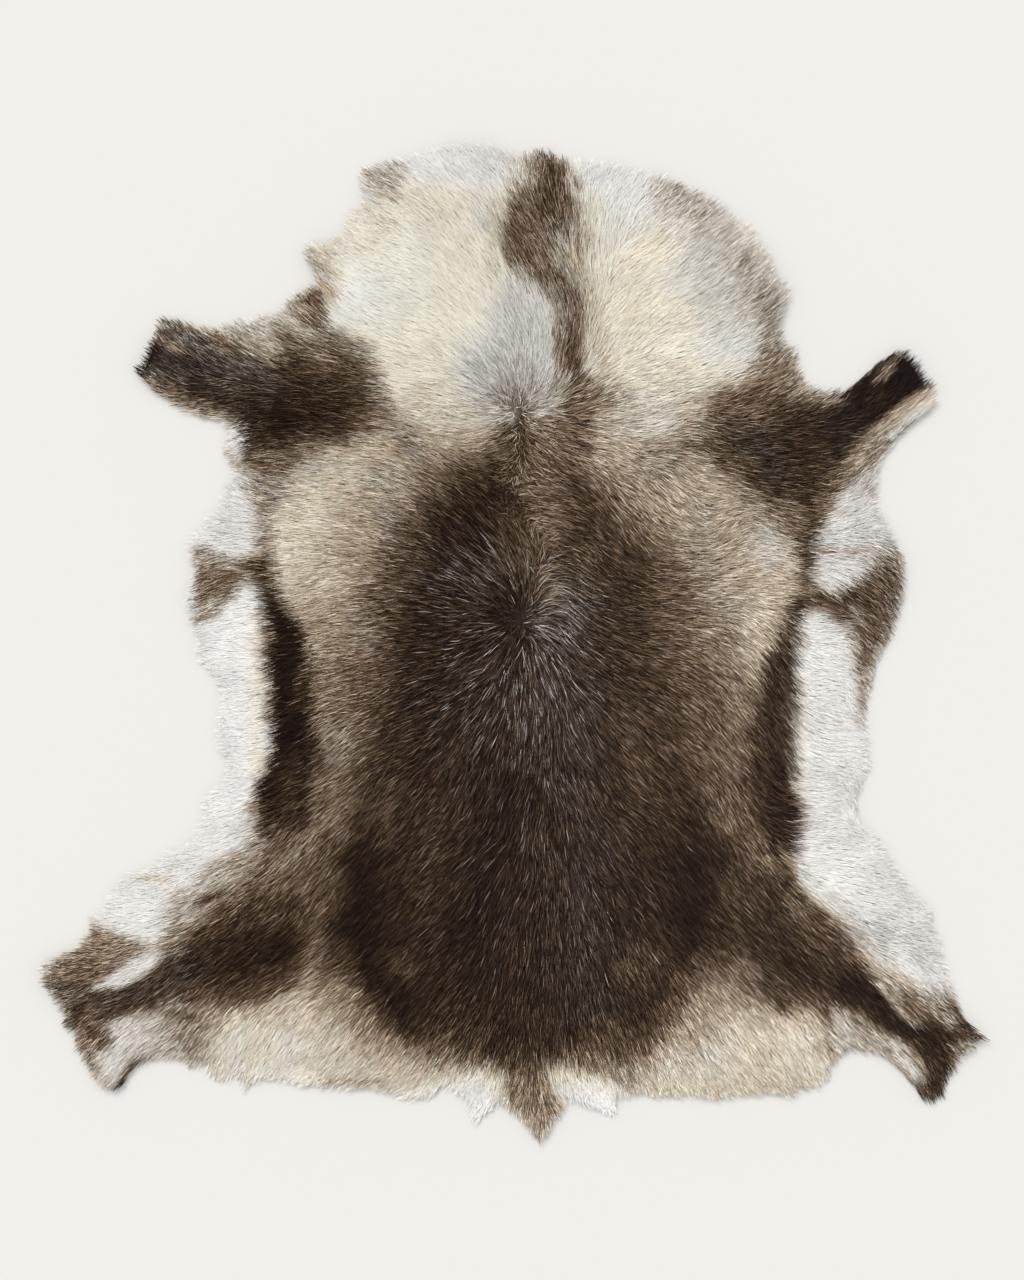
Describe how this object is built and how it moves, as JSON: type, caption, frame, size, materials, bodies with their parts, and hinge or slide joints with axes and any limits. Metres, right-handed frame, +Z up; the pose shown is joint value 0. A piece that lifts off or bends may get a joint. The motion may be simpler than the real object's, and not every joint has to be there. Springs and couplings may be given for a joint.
{
  "type": "reindeer hide",
  "caption": "Flat tanned reindeer hide laid hair side up, with neck, four leg flaps, tail and an uneven crown of thick combed hair.",
  "frame": {"origin": "centre of the bounding box in plan, on the floor under the hide", "axes": "+Z up through the hair, +Y from the tail towards the neck, +X towards the animal's right flank"},
  "size_m": [1.142, 1.2, 0.027],
  "materials": {
    "hide": "matte"
  },
  "bodies": {
    "root": {"hide": "hide"}
  },
  "joints": []
}
